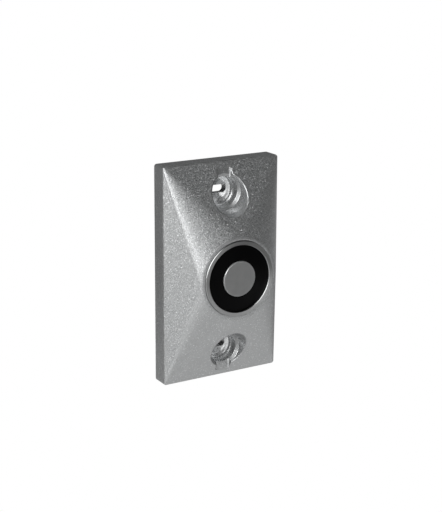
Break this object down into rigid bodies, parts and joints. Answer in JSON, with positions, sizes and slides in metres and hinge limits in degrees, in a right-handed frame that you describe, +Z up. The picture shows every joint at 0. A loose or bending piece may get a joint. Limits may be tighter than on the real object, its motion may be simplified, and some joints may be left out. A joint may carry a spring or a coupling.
{
  "type": "electromagnetic door holder",
  "caption": "Wall-mounted electromagnetic door holder: die-cast rectangular cover rising to a round pot magnet, with slotted screw pockets above and below.",
  "frame": {"origin": "middle of the plate on the wall's surface, halfway between the screw slots", "axes": "+Z up the wall, +Y into the wall, the pole face looks along -Y, +X to the right as seen by someone facing the holder"},
  "size_m": [0.0672, 0.0277, 0.1146],
  "materials": {
    "painted_casting": "grainy sparkling silver paint, satin",
    "pole_steel": "smooth machined steel",
    "zinc_plate": "bright zinc plating",
    "black_resin": "poured black epoxy, soft gloss",
    "natural_nylon": "moulded, satin",
    "copper_wire": "enamelled copper",
    "coil_tape": "polyester tape",
    "red_insulation": "soft sheath",
    "black_insulation": "soft sheath",
    "black_bush": "matte",
    "board_laminate": "lacquered laminate",
    "block_moulding": "moulded, satin",
    "brass_clamp": "plain",
    "black_package": "moulded, matte",
    "tinned_wire": "tinned",
    "varistor_coat": "dipped coating"
  },
  "bodies": {
    "root": {"face_housing": "painted_casting", "magnet_cup": "pole_steel", "magnet_core": "pole_steel", "coil_bobbin": "natural_nylon", "coil_winding": "copper_wire", "coil_tape": "coil_tape", "magnet_potting": "black_resin", "magnet_bridge": "zinc_plate", "magnet_screw": "zinc_plate", "magnet_lock_washer": "zinc_plate", "bridge_lock_washers": "zinc_plate", "bridge_screws": "zinc_plate", "lead_bush": "black_bush", "coil_lead_red": "red_insulation", "coil_lead_black": "black_insulation", "terminal_board": "board_laminate", "board_screws": "zinc_plate", "terminal_block": "block_moulding", "terminal_clamps": "brass_clamp", "terminal_screws": "zinc_plate", "rectifier_body": "black_package", "rectifier_pins": "tinned_wire", "varistor_disc": "varistor_coat", "varistor_leads": "tinned_wire"}
  },
  "joints": []
}
